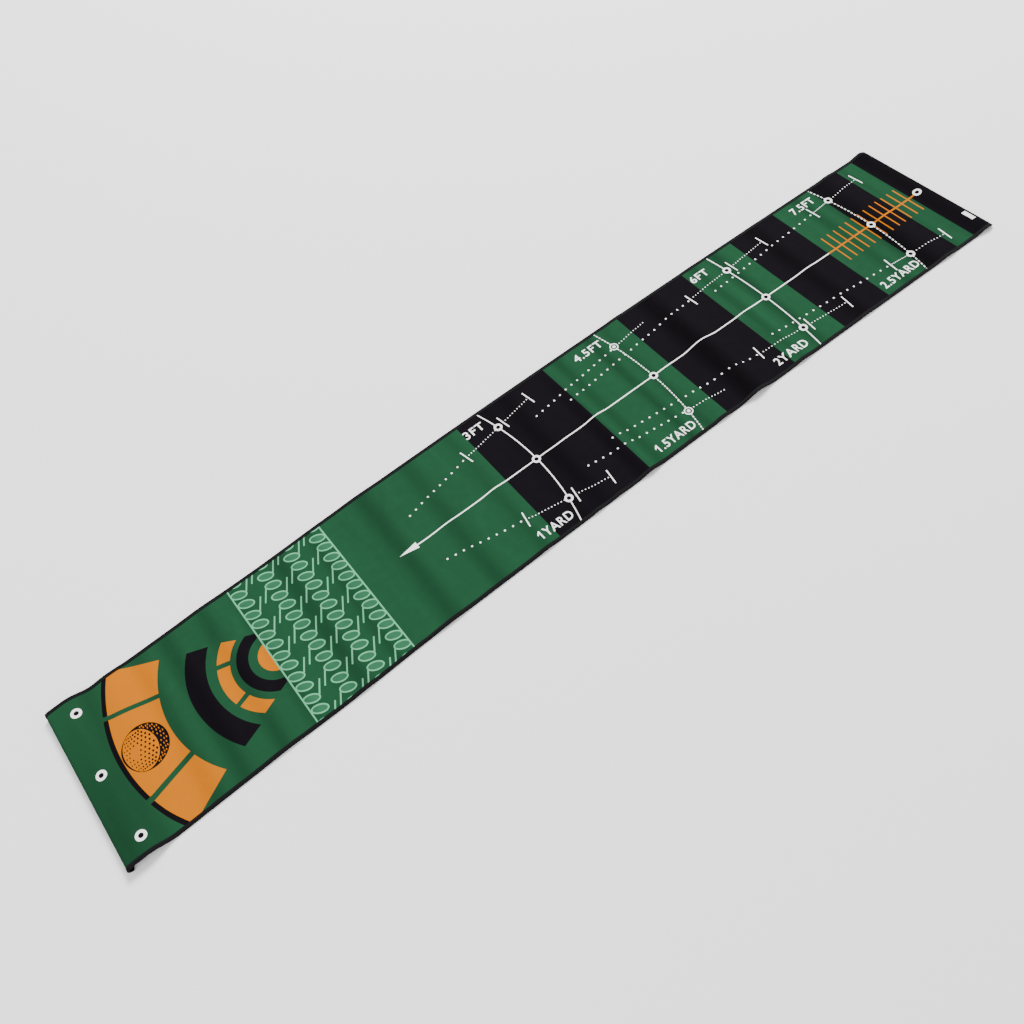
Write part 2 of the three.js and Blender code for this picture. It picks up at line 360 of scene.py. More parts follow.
class Nodes:
    """A short way to write a node tree."""

    def __init__(
        self, name, roughness, specular=0.3, sheen=0.0, sheen_roughness=0.5, sheen_tint=None
    ):
        self.material = bpy.data.materials.new(name)
        self.material.use_nodes = True
        self.tree = self.material.node_tree
        self.shader = self.tree.nodes["Principled BSDF"]
        self.shader.inputs["Roughness"].default_value = roughness
        self.shader.inputs["Specular IOR Level"].default_value = specular
        self.shader.inputs["Sheen Weight"].default_value = sheen
        self.shader.inputs["Sheen Roughness"].default_value = sheen_roughness
        if sheen_tint:
            self.shader.inputs["Sheen Tint"].default_value = (*sheen_tint, 1)
        uv = self.tree.nodes.new("ShaderNodeUVMap")
        uv.uv_map = "sheet"
        self.uv = uv.outputs["UV"]

    def link(self, value, socket):
        if isinstance(value, bpy.types.NodeSocket):
            self.tree.links.new(value, socket)
        else:
            socket.default_value = value

    def scaled(self, sx, sy, turn=0.0):
        node = self.tree.nodes.new("ShaderNodeMapping")
        node.inputs["Scale"].default_value = (sx, sy, 1)
        node.inputs["Rotation"].default_value = (0, 0, turn)
        self.link(self.uv, node.inputs["Vector"])
        return node.outputs["Vector"]

    def noise(self, vector, scale=1.0, detail=2.0, rough=0.55, distortion=0.0):
        node = self.tree.nodes.new("ShaderNodeTexNoise")
        self.link(vector, node.inputs["Vector"])
        for key, value in (
            ("Scale", scale),
            ("Detail", detail),
            ("Roughness", rough),
            ("Distortion", distortion),
        ):
            node.inputs[key].default_value = value
        return node.outputs["Fac"]

    def wave(self, vector, scale, direction="X", profile="SIN", distortion=0.0):
        node = self.tree.nodes.new("ShaderNodeTexWave")
        node.bands_direction = direction
        node.wave_profile = profile
        self.link(vector, node.inputs["Vector"])
        node.inputs["Scale"].default_value = scale
        node.inputs["Distortion"].default_value = distortion
        node.inputs["Detail"].default_value = 1.0
        return node.outputs["Fac"]

    def cells(self, vector, scale, feature="F1"):
        node = self.tree.nodes.new("ShaderNodeTexVoronoi")
        node.feature = feature
        self.link(vector, node.inputs["Vector"])
        node.inputs["Scale"].default_value = scale
        return node.outputs["Distance"]

    def attribute(self, name):
        node = self.tree.nodes.new("ShaderNodeAttribute")
        node.attribute_name = name
        return node.outputs["Fac"]

    def math(self, operation, a, b=0.0, clamp=False):
        node = self.tree.nodes.new("ShaderNodeMath")
        node.operation = operation
        node.use_clamp = clamp
        self.link(a, node.inputs[0])
        self.link(b, node.inputs[1])
        return node.outputs[0]

    def ramp(self, value, low, high, to_low=0.0, to_high=1.0):
        node = self.tree.nodes.new("ShaderNodeMapRange")
        self.link(value, node.inputs["Value"])
        node.inputs["From Min"].default_value = low
        node.inputs["From Max"].default_value = high
        node.inputs["To Min"].default_value = to_low
        node.inputs["To Max"].default_value = to_high
        return node.outputs["Result"]

    def blend(self, share, a, b):
        node = self.tree.nodes.new("ShaderNodeMix")
        node.data_type = "RGBA"
        self.link(share, node.inputs[0])
        self.link((*a, 1) if isinstance(a, tuple) else a, node.inputs[6])
        self.link((*b, 1) if isinstance(b, tuple) else b, node.inputs[7])
        return node.outputs[2]

    def colour(self, value):
        self.link(value, self.shader.inputs["Base Color"])

    def rough(self, value):
        self.link(value, self.shader.inputs["Roughness"])

    def bump(self, height, depth, strength=1.0):
        node = self.tree.nodes.new("ShaderNodeBump")
        node.inputs["Strength"].default_value = strength
        node.inputs["Distance"].default_value = depth
        self.link(height, node.inputs["Height"])
        self.link(node.outputs["Normal"], self.shader.inputs["Normal"])


def shade(colour, factor):
    return tuple(min(1.0, c * factor) for c in colour)


def pile_fabric(name, ink, spread=0.16, painted_shade_tone=0.35):
    """Short brushed pile over a fine knit, dyed with one ink and painted darker in shade bands."""
    n = Nodes(name, 0.9, 0.03, sheen=0.03, sheen_roughness=0.6, sheen_tint=shade(ink, 2.5))
    nap = n.noise(n.scaled(16, 3.4, 0.12), detail=3.0, rough=0.6, distortion=0.5)
    blotch = n.noise(n.scaled(30, 42), detail=2.0)
    fibre = n.noise(n.scaled(620, 1500), detail=2.0, rough=0.7)
    knit_a = n.wave(n.scaled(1, 1, 0.95), 115, profile="SIN", distortion=0.4)
    knit_b = n.wave(n.scaled(1, 1, -0.95), 115, profile="SIN", distortion=0.4)
    knit = n.math("MULTIPLY", knit_a, knit_b)
    tone = n.math("ADD", n.math("MULTIPLY", nap, 0.55), n.math("MULTIPLY", fibre, 0.3))
    tone = n.math("ADD", tone, n.math("MULTIPLY", blotch, 0.3))
    tone = n.math("ADD", tone, n.math("MULTIPLY", knit, 0.12))
    tone = n.ramp(tone, 0.38, 0.86)
    brushed = n.blend(tone, shade(ink, 1 - spread), shade(ink, 1 + spread))
    # Painted shade: the ink goes towards its shade tone where the shade bands lie.
    share = n.math("MULTIPLY", n.attribute("painted_shade"), n.ramp(blotch, 0.3, 0.7, 0.85, 1.15))
    n.colour(n.blend(share, brushed, shade(ink, painted_shade_tone)))
    n.rough(n.ramp(nap, 0.3, 0.7, 0.8, 0.92))
    height = n.math("ADD", n.math("MULTIPLY", fibre, 0.8), n.math("MULTIPLY", knit, 0.35))
    n.bump(height, 0.0005, 0.5)
    return n.material


def woven_tape():
    n = Nodes("woven_tape", 0.85, 0.06, sheen=0.02, sheen_roughness=0.5)
    ribs = n.wave(n.scaled(1, 1), 330, direction="X", profile="SIN", distortion=0.25)
    picks = n.wave(n.scaled(1, 1), 420, direction="Y", profile="SIN", distortion=0.25)
    weave = n.math("ADD", n.math("MULTIPLY", ribs, 0.75), n.math("MULTIPLY", picks, 0.3))
    wear = n.noise(n.scaled(38, 90), detail=3.0, rough=0.65)
    tone = n.ramp(n.math("ADD", n.math("MULTIPLY", weave, 0.5), wear), 0.45, 1.15)
    n.colour(n.blend(tone, (0.0015, 0.0014, 0.0018), (0.006, 0.0058, 0.0068)))
    n.rough(n.ramp(wear, 0.3, 0.7, 0.6, 0.8))
    n.bump(weave, 0.00025, 0.7)
    return n.material


def grip_backing():
    """Light grey rubber with small raised dots."""
    n = Nodes("grip_backing", 0.72)
    a = n.cells(n.scaled(1, 1), 400)
    dots = n.ramp(a, 0.28, 0.42, 1.0, 0.0)
    grime = n.noise(n.scaled(14, 14), detail=4.0, rough=0.6, distortion=0.4)
    scuff = n.noise(n.scaled(7, 90), detail=3.0, rough=0.7)
    tone = n.ramp(n.math("ADD", grime, n.math("MULTIPLY", scuff, 0.5)), 0.55, 0.95)
    base = n.blend(tone, (0.44, 0.435, 0.475), (0.56, 0.555, 0.59))
    n.colour(n.blend(n.math("MULTIPLY", dots, 0.25), base, (0.66, 0.66, 0.69)))
    n.rough(n.ramp(dots, 0.0, 1.0, 0.78, 0.6))
    n.bump(n.math("ADD", dots, n.math("MULTIPLY", grime, 0.2)), 0.0003, 0.7)
    return n.material


def foam():
    n = Nodes("foam", 0.9)
    pores = n.cells(n.scaled(1, 1), 900)
    cloud = n.noise(n.scaled(60, 60), detail=3.0)
    n.colour(n.blend(n.ramp(pores, 0.1, 0.7), (0.02, 0.02, 0.022), (0.06, 0.06, 0.064)))
    n.rough(n.ramp(cloud, 0.3, 0.7, 0.85, 0.97))
    n.bump(pores, 0.0003, 0.6)
    return n.material


def thread(name, dark, light):
    n = Nodes(name, 0.6, 0.1, sheen=0.05, sheen_roughness=0.4)
    twist = n.wave(n.scaled(1, 1, 0.7), 700, profile="SIN", distortion=0.3)
    fuzz = n.noise(n.scaled(900, 900), detail=2.0)
    n.colour(n.blend(n.ramp(twist, 0.1, 0.9), dark, light))
    n.rough(n.ramp(fuzz, 0.3, 0.7, 0.45, 0.65))
    n.bump(n.math("ADD", twist, n.math("MULTIPLY", fuzz, 0.4)), 0.0001, 0.6)
    return n.material


def satin_label():
    n = Nodes("satin_label", 0.42)
    warp = n.wave(n.scaled(1, 1), 500, direction="Y", profile="SIN", distortion=0.3)
    weft = n.wave(n.scaled(1, 1), 900, direction="X", profile="SIN", distortion=0.3)
    # Painted crease shade: a soft noise paints the satin lighter and darker in patches, and also
    # varies its roughness.
    painted_crease_shade = n.noise(n.scaled(90, 50), detail=3.0, rough=0.6)
    tone = n.math("ADD", n.math("MULTIPLY", warp, 0.4), n.math("MULTIPLY", painted_crease_shade, 0.7))
    n.colour(n.blend(n.ramp(tone, 0.3, 0.8), (0.80, 0.80, 0.80), (0.93, 0.93, 0.92)))
    n.rough(n.ramp(painted_crease_shade, 0.3, 0.7, 0.36, 0.5))
    n.bump(n.math("ADD", warp, n.math("MULTIPLY", weft, 0.5)), 0.0001, 0.5)
    return n.material


GREEN, BLACK, ORANGE, WHITE, PALE, SAGE = range(6)
# An ink's last number, where given, is how much of its colour is left in full painted shade.
INKS = [
    pile_fabric("pile_green", (0.0100, 0.0555, 0.0240)),
    pile_fabric("pile_black", (0.0048, 0.0036, 0.0055), spread=0.25, painted_shade_tone=0.2),
    pile_fabric("pile_orange", (0.45, 0.126, 0.0003), spread=0.05, painted_shade_tone=0.7),
    pile_fabric("pile_white", (0.92, 0.93, 0.92), spread=0.04, painted_shade_tone=0.85),
    pile_fabric("pile_pale_green", (0.11, 0.37, 0.20), spread=0.1, painted_shade_tone=0.6),
    pile_fabric("pile_sage", (0.027, 0.116, 0.056), spread=0.14, painted_shade_tone=0.5),
]
TAPE = woven_tape()
GRIP = grip_backing()
FOAM_MATERIAL = foam()
THREAD = thread("thread", (0.006, 0.006, 0.007), (0.022, 0.022, 0.024))
PALE_THREAD = thread("pale_thread", (0.55, 0.55, 0.55), (0.86, 0.86, 0.85))
LABEL = satin_label()

# ---------------------------------------------------------------------------
# The print: closed outlines in print millimetres, from the centre of the target.


class Drawing:
    """Outlines for the triangulation, and the painted shape that each belongs to."""

    def __init__(self):
        self.points, self.lines, self.outlines = [], [], []
        self.owner, self.shapes = [], []

    def outline(self, outline, owner=None):
        """Adds a closed outline, anticlockwise, and gives its number."""
        flat = [(float(x) - PRINT_SHIFT, float(y)) for x, y in outline]
        area = sum(a[0] * b[1] - b[0] * a[1] for a, b in zip(flat, flat[1:] + flat[:1]))
        first = len(self.points)
        self.points += flat if area > 0 else flat[::-1]
        self.outlines.append(list(range(first, len(self.points))))
        self.owner.append(owner)
        return len(self.outlines) - 1

    def paint(self, ink, outlines, inside=None, outside=(), odd=False):
        """Paints outlines over what is there, within one outline and outside others."""
        self.shapes.append((ink, inside, frozenset(outside), odd))
        return [self.outline(o, len(self.shapes) - 1) for o in outlines]

    def line(self, points):
        first = len(self.points)
        self.points += points
        self.lines += [(first + i, first + i + 1) for i in range(len(points) - 1)]

    def ink_of(self, holders):
        holders = set(holders)
        mine = defaultdict(int)
        for h in holders:
            if self.owner[h] is not None:
                mine[self.owner[h]] += 1
        for shape in sorted(mine, reverse=True):
            ink, inside, outside, odd = self.shapes[shape]
            if inside is not None and inside not in holders:
                continue
            if outside & holders or (odd and mine[shape] % 2 == 0):
                continue
            return ink
        return GREEN


def arc(radius, start_deg, end_deg, steps, cx=0.0, cy=0.0):
    """Points on a circle. Angles run from -X towards +Y."""
    turn = np.radians(np.linspace(start_deg, end_deg, steps + 1))
    return [(cx - radius * math.cos(a), cy + radius * math.sin(a)) for a in turn]


def oval(cx, cy, rx, ry=None, turn_deg=0.0, steps=24):
    ry = rx if ry is None else ry
    c, s = math.cos(math.radians(turn_deg)), math.sin(math.radians(turn_deg))
    points = []
    for a in np.linspace(0, math.tau, steps, endpoint=False):
        px, py = rx * math.cos(a), ry * math.sin(a)
        points.append((cx + px * c - py * s, cy + px * s + py * c))
    return points


def band_of(inner, outer, span_deg, steps, cx=0.0, cy=0.0):
    """Part of a ring of the target, to span_deg either side of -X."""
    near = arc(outer, -span_deg, span_deg, steps, cx, cy)
    return near + arc(inner, span_deg, -span_deg, steps, cx, cy)


def bar(x0, y0, x1, y1, wide):
    """A straight stroke with square ends."""
    length = math.hypot(x1 - x0, y1 - y0)
    nx, ny = -(y1 - y0) / length * wide / 2, (x1 - x0) / length * wide / 2
    return [(x0 + nx, y0 + ny), (x0 - nx, y0 - ny), (x1 - nx, y1 - ny), (x1 + nx, y1 + ny)]


def rectangle(x0, x1, y0, y1):
    return [(x0, y0), (x1, y0), (x1, y1), (x0, y1)]


def both(outlines):
    """Outlines and their mirror images on the other side of the centre line."""
    return [o for one in outlines for o in (one, [(x, -y) for x, y in one])]


FABRIC_NEAR = -(NEAR.end - TAPE_WALL - GAP)
FABRIC_FAR = FAR.end - TAPE_WALL - GAP
CROSS_LINES = stations(FABRIC_NEAR, FABRIC_FAR, LAYER_STEP)
drawing = Drawing()
SHEET = drawing.outline(
    [(x + PRINT_SHIFT, -CORE_HALF) for x in CROSS_LINES]
    + [(x + PRINT_SHIFT, CORE_HALF) for x in reversed(CROSS_LINES)]
)

# Stripes: black between these distances from the target, green elsewhere.
LAST_STRIPE = (2457, FABRIC_FAR + PRINT_SHIFT)
STRIPES = [(803, 1133), (1431, 1703), (1911, 2099), (2261, 2388), LAST_STRIPE]
drawing.paint(BLACK, [rectangle(a, b, -CORE_HALF, CORE_HALF) for a, b in STRIPES])

# Target: parts of rings, each cut off by two slanting lines. They are printed a little
# off centre, and the second black one swings wide on its right-hand side.
CUT_REACH = 520.0


def wedge(upper, lower):
    """The region towards the near end between two slanting lines, each (x, y, slope)."""
    (x0, y0, s0), (x1, y1, s1) = upper, lower
    tip = (y0 - s0 * x0 - y1 + s1 * x1) / (s1 - s0)
    tip_y = y0 + s0 * (tip - x0)
    left = (-CUT_REACH, y0 - s0 * (CUT_REACH + x0))
    right = (-CUT_REACH, y1 - s1 * (CUT_REACH + x1))
    return drawing.outline([(tip, tip_y), left, right])


def spokes(*strokes):
    """Green strips that cut through a ring."""
    return [drawing.outline(bar(*stroke)) for stroke in strokes]


def swung(outline, shift, swell):
    """Moves an outline away from the near end and draws out its right-hand side."""
    return [(x + shift, y * swell if y < 0 else y) for x, y in outline]


outer_cut = wedge((-255, 192, -0.5), (-255, -190, 0.5))
outer_spokes = spokes((-284.5, 96.7, -479.7, 148.2, 13.4), (-292.3, -91.4, -481, -139.4, 16))
drawing.paint(ORANGE, [band_of(322, 466, 40, 48)], outer_cut, outer_spokes)
drawing.paint(BLACK, [band_of(464, 477, 40, 48)], outer_cut, outer_spokes)
arc_cut = wedge((-137, 135, -0.434), (-119.4, -149.1, 0.328))
drawing.paint(BLACK, [swung(band_of(189.5, 248, 64, 48), 2, 1.11)], arc_cut)
segment_cut = wedge((-62, 97.9, -0.556), (-57.7, -113.3, 0.431))
segment_spokes = spokes((-95, 46.3, -160, 67.1, 14), (-100, -53.1, -165, -71.6, 14))
segments = band_of(126.2, 162.8, 72, 40, 2, -9.8)
drawing.paint(ORANGE, [segments], segment_cut, segment_spokes)
ring_cut = wedge((-13, 82, -0.417), (-13, -94.5, 0.417))
drawing.paint(BLACK, [band_of(75, 108, 92, 40, 2.4, -7)], ring_cut)
drawing.paint(ORANGE, [oval(2.5, -7, 49.5, steps=48)])

# Ball: a plain drawn golf ball, dark on its far side, with small dimples.
BALL_X, BALL_Y, BALL_R = -397.5, 1.5, 65.0
drawing.paint(BLACK, [oval(BALL_X, BALL_Y, BALL_R, steps=64)])
lit_x, lit_rx, lit_ry = BALL_X - 13.0, 47.0, 60.0
drawing.paint(ORANGE, [oval(lit_x, BALL_Y, lit_rx, lit_ry, steps=56)])
dark_dimples, light_dimples = [], []
for row in range(-7, 8):
    for column in range(-8, 9):
        turn_y, turn_x = row * 0.178, (column + 0.5 * (row % 2)) * 0.2
        if abs(turn_y) > 1.35 or abs(turn_x) > 1.45:
            continue
        dx = BALL_R * math.sin(turn_x) * math.cos(turn_y)
        dy = BALL_R * math.sin(turn_y)
        squeeze = max(0.35, math.cos(turn_x))
        if math.hypot(dx, dy) > BALL_R - 4.5 or math.hypot(dx + 28, dy - 2) < 15:
            continue
        on_lit = ((BALL_X + dx - lit_x) / lit_rx) ** 2 + (dy / lit_ry) ** 2
        if on_lit < 0.88:
            grow = 1.0 + 0.5 * max(0.0, dx / BALL_R + 0.3)
            dimple = oval(BALL_X + dx, BALL_Y + dy, 2.5 * squeeze * grow, 2.7 * grow, steps=8)
            dark_dimples.append(dimple)
        elif on_lit > 1.15 and dx < 0.9 * BALL_R and dx > 0:
            light_dimples.append(oval(BALL_X + dx, BALL_Y + dy, 1.5, 3.2, steps=8))
drawing.paint(BLACK, dark_dimples)
drawing.paint(ORANGE, light_dimples)

# Patterned band: a plain repeat of ovals and slanting bars, with a line at each end.
BAND_START, BAND_END = -12.6, 303.4
(band,) = drawing.paint(GREEN, [rectangle(BAND_START, BAND_END, -CORE_HALF, CORE_HALF)])
rims, fills = [], []
for column in range(4):
    for row in range(-4, 4):
        cx, cy = 12.4 + 89 * column, -1.7 + 78.3 * row
        for flip in (1, -1):
            ox, oy = cx + 1.5 * flip, cy + 20.5 * flip
            rims.append(oval(ox, oy, 25.0, 14.0, -24, steps=22))
            fills.append(oval(ox, oy, 20.8, 9.8, -24, steps=20))
            rims.append(bar(cx - 44 * flip, cy - 14 * flip, cx - 21 * flip, cy + 24 * flip, 4.4))
drawing.paint(PALE, rims, inside=band)
drawing.paint(SAGE, fills, inside=band)
drawing.paint(
    PALE,
    [
        rectangle(BAND_START, BAND_START + 4.4, -CORE_HALF, CORE_HALF),
        rectangle(BAND_END - 4.4, BAND_END, -CORE_HALF, CORE_HALF),
    ],
)

# Centre line with an arrow head, orange past the ruler's first tick.
ARROW_TIP, ARROW_BASE, LINE_TURNS_ORANGE, LINE_END = 423.7, 485.0, 2100.0, 2480.0
drawing.paint(
    WHITE,
    [
        [(ARROW_TIP, 0), (ARROW_BASE, -10.8), (ARROW_BASE, 10.8)],
        rectangle(ARROW_BASE - 4, LINE_TURNS_ORANGE, -1.95, 1.95),
    ],
)
ticks = [bar(2130 + 26.2 * k, -64, 2130 + 26.2 * k, 62, 4.3) for k in range(13)]
drawing.paint(ORANGE, [rectangle(LINE_TURNS_ORANGE, LINE_END, -3.0, 3.0), *ticks])


# Distance rows: an arc across the mat, rings on it, dotted side lines and crossbars.
def row_arc(x, radius, dash=None, gap=0.0, wide=3.6):
    """An arc across the mat through (x, 0), solid or dashed."""
    cx = x - radius
    half = math.degrees(math.asin(CORE_HALF / radius))
    if dash is None:
        outer = arc(-(radius + wide / 2), -half, half, 40, cx)
        return [outer + arc(-(radius - wide / 2), half, -half, 40, cx)]
    pitch = math.degrees((dash + gap) / radius)
    share = math.degrees(dash / radius)
    found = []
    for k in range(-int(half / pitch), int(half / pitch) + 1):
        a, b = k * pitch - share / 2, k * pitch + share / 2
        if abs(a) < half and abs(b) < half:
            outer = arc(-(radius + wide / 2), a, b, 1, cx)
            found.append(outer + arc(-(radius - wide / 2), b, a, 1, cx))
    return found


def dots(x0, y0, x1, y1, pitch, radius):
    """Dots from one point to another, about pitch apart."""
    count = max(1, round(math.hypot(x1 - x0, y1 - y0) / pitch))
    steps = [i / count for i in range(count + 1)]
    sides = 12 if radius > 3 else 10
    return [oval(x0 + (x1 - x0) * t, y0 + (y1 - y0) * t, radius, steps=sides) for t in steps]


def crossbar(x, y, slope, long, wide=3.9):
    """A stroke square to a side line of that slope."""
    size = math.hypot(slope, 1)
    dx, dy = -slope / size * long / 2, long / 2 / size
    return bar(x - dx, y - dy, x + dx, y + dy, wide)


strokes = row_arc(916, 830)
strokes += row_arc(1365.5, 1090, dash=7, gap=3.6)
strokes += row_arc(1828, 1650)
strokes += row_arc(2284.5, 1170, dash=8, gap=5)

FINE, SPARSE = 1.95, 3.0
sides = dots(523, 92, 757 - 8, 137.5, 26, SPARSE)
sides += dots(774, 142.5, 886, 162, 10.6, FINE) + dots(932, 171, 1026, 188, 10.6, FINE)
sides += dots(1011, 119, 1336, 160, 26, SPARSE) + dots(1374, 165, 1481.5, 178.5, 10.6, FINE)
sides += dots(1123.5, 94.5, 1644, 148, 26, SPARSE)
sides += dots(1667, 151, 1808, 162, 10.6, FINE) + dots(1853, 167, 1979, 178.5, 10.6, FINE)
sides += dots(1733, 122, 2183, 159, 26, SPARSE)
sides += dots(2202, 161.5, 2258, 167, 6.3, 1.7) + dots(2296, 170, 2399, 179, 11, FINE)
for x, y, slope, long in (
    (764, 141, 0.2, 52),
    (922, 169.5, 0.17, 52),
    (1034.6, 190, 0.16, 52),
    (1653.6, 146, 0.1, 52),
    (1843, 166, 0.09, 52),
    (1987.5, 179.5, 0.09, 52),
    (2195.7, 161, 0.08, 56),
    (2406.5, 179.5, 0.08, 56),
):
    sides.append(crossbar(x, y, slope, long))
drawing.paint(WHITE, strokes)
drawing.paint(WHITE, both(sides))

RING_R, RING_HOLE = 13.2, 6.6
on_axis = [(914.4, 0), (1366.5, 0), (1828, 0), (2284.5, 0), (2485, 0)]
on_sides = [(900, 165), (1820.5, 163), (2272.5, 169)]
plain = on_axis + on_sides + [(x, -y) for x, y in on_sides]
drawing.paint(WHITE, [oval(x, y, RING_R) for x, y in plain])
drawing.paint(BLACK, [oval(x, y, RING_HOLE, steps=16) for x, y in plain])
dotted = [(1353, 165), (1353, -166)]
drawing.paint(WHITE, [oval(x, y, 13.8) for x, y in dotted])
drawing.paint(GREEN, [oval(x, y, 10.2) for x, y in dotted])
drawing.paint(WHITE, [oval(x, y, 5.4, steps=16) for x, y in dotted])
tees = [(-521.5, 0), (-504, 197.5), (-508, -201)]
drawing.paint(WHITE, [oval(x, y, 14.4, steps=32) for x, y in tees])
drawing.paint(BLACK, [oval(x, y, 6.8, steps=20) for x, y in tees])


# Distance figures: the plain typeface, a little bolder and wider set.
BOLDER, LETTER_SPACING = 0.012, 1.12


def lettering(text, x0, x1, y0, y1):
    """Outlines of a line of text, fitted to a rectangle."""
    curve = bpy.data.curves.new("figures", "FONT")
    curve.body = text
    curve.offset = BOLDER
    curve.space_character = LETTER_SPACING
    curve.resolution_u = 4
    holder = bpy.data.objects.new("figures", curve)
    bpy.context.scene.collection.objects.link(holder)
    graph = bpy.context.evaluated_depsgraph_get()
    mesh = bpy.data.meshes.new_from_object(holder.evaluated_get(graph))
    places = [(v.co.x, v.co.y) for v in mesh.vertices]
    directed = set()
    for face in mesh.polygons:
        corner = list(face.vertices)
        directed.update(zip(corner, corner[1:] + corner[:1]))
    rim = {a: b for a, b in directed if (b, a) not in directed}
    bpy.data.objects.remove(holder)
    bpy.data.meshes.remove(mesh)
    bpy.data.curves.remove(curve)
    xs, ys = [p[0] for p in places], [p[1] for p in places]
    sx, sy = (x1 - x0) / (max(xs) - min(xs)), (y1 - y0) / (max(ys) - min(ys))
    fitted = [(x0 + (x - min(xs)) * sx, y0 + (y - min(ys)) * sy) for x, y in places]
    found = []
    while rim:
        start = min(rim)
        loop, here = [], start
        while here in rim:
            loop.append(fitted[here])
            here = rim.pop(here)
        if len(loop) > 2:
            found.append(loop)
    return found


FIGURES = [
    ("3FT", 803, 872, 189.5),
    ("4.5FT", 1229, 1334, 191),
    ("6FT", 1706, 1773, 189.5),
    ("7.5FT", 2148.5, 2241.5, 192.5),
    ("1YARD", 756, 875, -222),
    ("1.5YARD", 1190, 1335, -222),
    ("2YARD", 1662, 1787, -221.5),
    ("2.5YARD", 2112.5, 2260, -220.5),
]
CAP_HEIGHT, FLAG_LONG = 29, 7.5
for text, x0, x1, y in FIGURES:
    top = y + CAP_HEIGHT
    stem = x0 + (FLAG_LONG if text[0] == "1" else 0)
    drawing.paint(WHITE, lettering(text, stem, x1, y, top), odd=True)
    if text[0] == "1":
        flag = [(x0, top - 9), (x0, top - 14), (stem + 0.5, top - 8.5), (stem + 0.5, top - 0.2)]
        drawing.paint(WHITE, [flag])

# Lines across the sheet that let it bend.
for x in CROSS_LINES:
    drawing.line([(float(x), float(y)) for y in np.linspace(-CORE_HALF, CORE_HALF, 19)])

flat_points, _, faces, _, _, holders = delaunay_2d_cdt(
    [Vector(p) for p in drawing.points], drawing.lines, drawing.outlines, 1, 1e-4, True
)


def printed_half(name, keep):
    """One half of the top fabric: printed face, underside and rim."""
    kept = []
    for face, held in zip(faces, holders):
        middle = sum(flat_points[i].x for i in face) / len(face)
        if SHEET in held and keep(middle):
            kept.append((face, drawing.ink_of(held)))
    used = sorted({i for face, _ in kept for i in face})
    new = {old: i for i, old in enumerate(used)}
    n = len(used)
    points = [(flat_points[i].x, flat_points[i].y, FABRIC[1]) for i in used]
    points += [(x, y, FABRIC[0]) for x, y, _ in points]
    top = [[new[i] for i in face] for face, _ in kept]
    slots = [ink for _, ink in kept]
    directed = {e for f in top for e in zip(f, f[1:] + f[:1])}
    rim = [(a, b) for a, b in directed if (b, a) not in directed]
    under = [[i + n for i in reversed(f)] for f in top]
    walls = [[b, a, a + n, b + n] for a, b in sorted(rim)]
    slots += [GREEN] * (len(under) + len(walls))
    obj = add_piece(name, points, top + under + walls, INKS, slots=slots, sharp_deg=40)
    x, y, _ = np.array(points).T
    # Painted shade: how dark the fabric is painted at each point, from the shade bands.
    dark = obj.data.attributes.new("painted_shade", "FLOAT", "POINT")
    dark.data.foreach_set("value", across(PAINTED_SHADE_BANDS, x, y).astype(np.float32))
    return face_out(obj)


fabric_near = printed_half("top_fabric_target_half", lambda x: x < SEAM_X)
fabric_far = printed_half("top_fabric_far_half", lambda x: x > SEAM_X)

# ---------------------------------------------------------------------------
# The other layers.

Y_CORE = list(np.linspace(-CORE_HALF, CORE_HALF, 15))
Y_INNER = list(np.linspace(-INNER_HALF, INNER_HALF, 15))
BACKING_NEAR = -(NEAR.end - TAPE_WIDE - GAP)
BACKING_FAR = FAR.end - TAPE_WIDE - GAP


def both_halves(name, start, stop, ys, heights, material):
    """A plain layer in its two halves, the target's first."""
    return [
        slab(f"{name}_{half}_half", stations(a, b, LAYER_STEP), ys, *heights, [material])
        for half, a, b in (("target", start, SEAM_X), ("far", SEAM_X, stop))
    ]


foam_near, foam_far = both_halves(
    "foam_core", FABRIC_NEAR, FABRIC_FAR, Y_CORE, FOAM, FOAM_MATERIAL
)
backing_near, backing_far = both_halves(
    "backing", BACKING_NEAR, BACKING_FAR, Y_INNER, BACKING, GRIP
)

# Edge tape: a strip folded round the edge, given by distance in from it and height.
# It is pressed down along its row of stitches.
TAPE_SECTION = [
    (TAPE_WIDE, 0.05),
    (8.0, 0.0),
    (2.0, 0.0),
    (0.7, 0.25),
    (0.1, 1.1),
    (0.0, 2.6),
    (0.1, 4.3),
    (0.7, 5.25),
    (2.0, TAPE_TOP + 0.05),
    (5.0, TAPE_TOP),
    (7.2, TAPE_TOP - 0.12),
    (8.0, TAPE_TOP - 0.28),
    (8.8, TAPE_TOP - 0.12),
    (10.2, TAPE_TOP - 0.1),
    (TAPE_WIDE, TAPE_TOP - 0.3),
    (TAPE_WIDE, 4.55),
    (8.0, 4.5),
    (1.6, 4.5),
    (1.25, 4.2),
    (1.25, 1.1),
    (1.6, 0.85),
    (TAPE_WIDE, TAPE_THICK),
]
MITRE = 12.0
path, around = 0.0, [0.0]
for (w0, h0), (w1, h1) in zip(TAPE_SECTION, TAPE_SECTION[1:]):
    path += math.hypot(w1 - w0, h1 - h0)
    around.append(path)


def mitred(x, inset, end, sign):
    """Pulls the last stretch of a tape back to the mitre at a corner."""
    start = end.end - MITRE
    reach = x * sign
    if reach <= start:
        return x
    return sign * (start + (reach - start) * (MITRE - inset) / MITRE)


def edge_tape(name, start, stop, side):
    rings, uvs = [], []
    for x in stations(start, stop, TAPE_STEP):
        sway = 0.25 * math.sin(x / 23.0) + 0.2 * math.sin(x / 9.1 + side)
        ring = []
        for inset, height in TAPE_SECTION:
            loose = sway * max(0.0, inset - STITCH_INSET) / 3
            at = mitred(mitred(x, inset, NEAR, -1), inset, FAR, 1)
            ring.append((at, side * (HALF_WIDTH - inset - loose), height))
        rings.append(ring)
        uvs.append([(x, a) for a in around])
    return sweep(name, rings, uvs, [TAPE])


